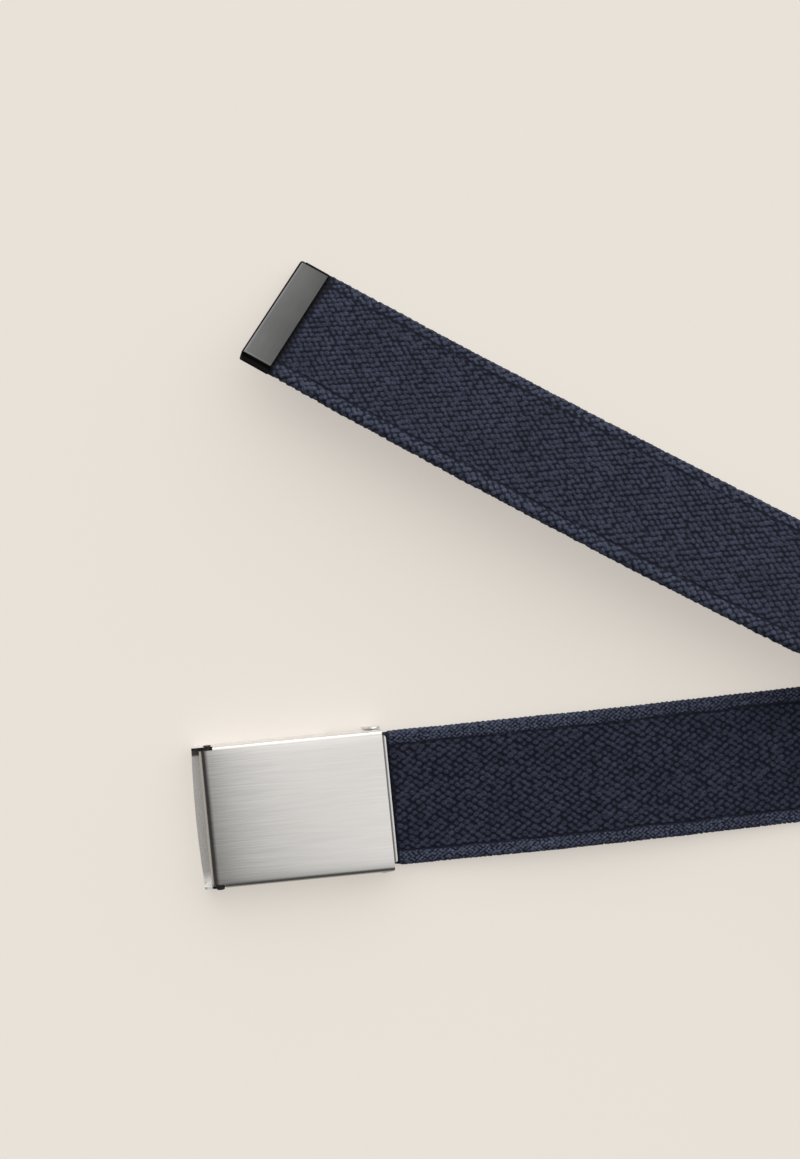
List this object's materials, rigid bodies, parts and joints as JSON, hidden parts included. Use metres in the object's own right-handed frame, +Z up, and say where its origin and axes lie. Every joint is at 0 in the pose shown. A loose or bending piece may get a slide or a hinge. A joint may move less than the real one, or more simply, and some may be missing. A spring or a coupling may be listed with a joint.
{
  "type": "webbing belt with flip-top clamp buckle",
  "caption": "Cotton webbing belt with a flat flip-top clamp buckle and a metal end tip, lying open on a table with its far end in a standing loop.",
  "frame": {"origin": "on the table under the buckle's middle, on the underside of the buckle's floor", "axes": "+X along the strand that leaves the buckle, +Z up off the table"},
  "size_m": [0.5295, 0.2761, 0.0382],
  "materials": {
    "webbing": "plain-woven navy cotton webbing with a stitched groove along each edge",
    "tip_metal": "brushed dark grey face, black nickel sides",
    "lid_metal": "brushed nickel",
    "frame_metal": "polished nickel",
    "pin_metal": "polished nickel, dark in its groove",
    "jaw_metal": "satin nickel"
  },
  "bodies": {
    "buckle": {"buckle_frame": "frame_metal", "lid_pin": "pin_metal", "webbing_strap": "webbing", "tip_ferrule": "tip_metal"},
    "lid": {"buckle_lid": "lid_metal"},
    "jaw": {"clamp_jaw": "jaw_metal"}
  },
  "joints": [
    {"name": "lid_hinge", "type": "hinge", "parent": "buckle", "child": "lid", "pos_m": [-0.0231, 0, 0.0083], "axis": [0, -1, 0], "range_deg": [0, 95]},
    {"name": "jaw_hinge", "type": "hinge", "parent": "buckle", "child": "jaw", "pos_m": [0.0244, 0, 0.0029], "axis": [0, -1, 0], "range_deg": [0, 80]}
  ]
}
